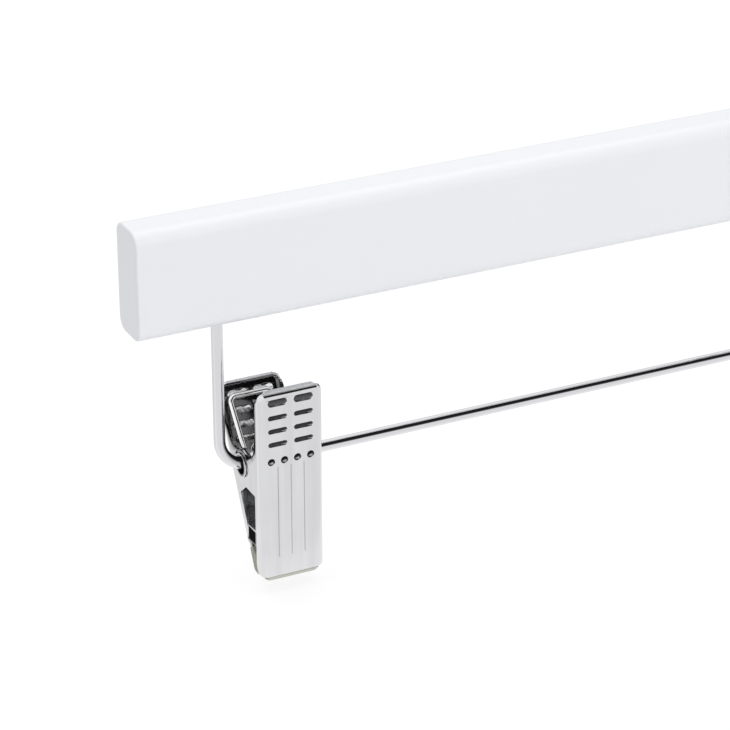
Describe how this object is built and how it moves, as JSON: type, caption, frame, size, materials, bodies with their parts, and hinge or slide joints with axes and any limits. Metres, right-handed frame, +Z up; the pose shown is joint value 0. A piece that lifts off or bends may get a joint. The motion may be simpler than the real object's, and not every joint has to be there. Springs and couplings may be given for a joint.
{
  "type": "clip hanger",
  "caption": "Trouser hanger: a flat white bar with a swivel hook above and a bent wire rail below, along which sprung metal clips slide, swing and open.",
  "frame": {"origin": "the hook's seat: the inside of its crown, where a closet rod touches it", "axes": "+X along the bar, +Y from the clips' front to their back, +Z up"},
  "size_m": [0.356, 0.0274, 0.1613],
  "materials": {
    "white_lacquer": "satin white lacquer over wood",
    "chromed_wire": "bright chrome on steel wire",
    "chromed_sheet": "bright chrome on pressed steel sheet",
    "zinc_plate": "zinc plate",
    "black_steel": "blackened steel",
    "spring_wire": "bright nickel on spring wire",
    "soft_pad": "translucent olive-grey soft vinyl"
  },
  "bodies": {
    "bar": {"hanger_bar": "white_lacquer", "rail_wire": "chromed_wire", "hook_bush": "chromed_wire", "hook_washer": "zinc_plate"},
    "hook": {"hook": "chromed_wire", "hook_nut": "zinc_plate"},
    "left_pivot": {"left_pivot_tube": "black_steel"},
    "left_front": {"left_front_jaw": "chromed_sheet", "left_front_pad": "soft_pad", "left_spring": "spring_wire"},
    "left_rear": {"left_rear_jaw": "chromed_sheet", "left_rear_pad": "soft_pad"},
    "right_pivot": {"right_pivot_tube": "black_steel"},
    "right_front": {"right_front_jaw": "chromed_sheet", "right_front_pad": "soft_pad", "right_spring": "spring_wire"},
    "right_rear": {"right_rear_jaw": "chromed_sheet", "right_rear_pad": "soft_pad"}
  },
  "joints": [
    {"name": "hook_swivel", "type": "hinge", "parent": "bar", "child": "hook", "pos_m": [0, 0, -0.0622], "axis": [0, 0, 1], "continuous": true},
    {"name": "left_slide", "type": "slide", "parent": "bar", "child": "left_pivot", "axis": [1, 0, 0], "range_m": [0, 0.13]},
    {"name": "left_swing", "type": "hinge", "parent": "left_pivot", "child": "left_front", "pos_m": [-0.14175, 0, -0.12904], "axis": [1, 0, 0], "continuous": true},
    {"name": "left_open", "type": "hinge", "parent": "left_front", "child": "left_rear", "pos_m": [-0.14175, 0, -0.12904], "axis": [1, 0, 0], "range_deg": [0, 35], "stiffness_Nm_per_rad": 0.15, "springref_deg": -68.75, "deforming": ["left_spring"]},
    {"name": "right_slide", "type": "slide", "parent": "bar", "child": "right_pivot", "axis": [-1, 0, 0], "range_m": [0, 0.13]},
    {"name": "right_swing", "type": "hinge", "parent": "right_pivot", "child": "right_front", "pos_m": [0.14175, 0, -0.12904], "axis": [1, 0, 0], "continuous": true},
    {"name": "right_open", "type": "hinge", "parent": "right_front", "child": "right_rear", "pos_m": [0.14175, 0, -0.12904], "axis": [1, 0, 0], "range_deg": [0, 35], "stiffness_Nm_per_rad": 0.15, "springref_deg": -68.75, "deforming": ["right_spring"]}
  ]
}
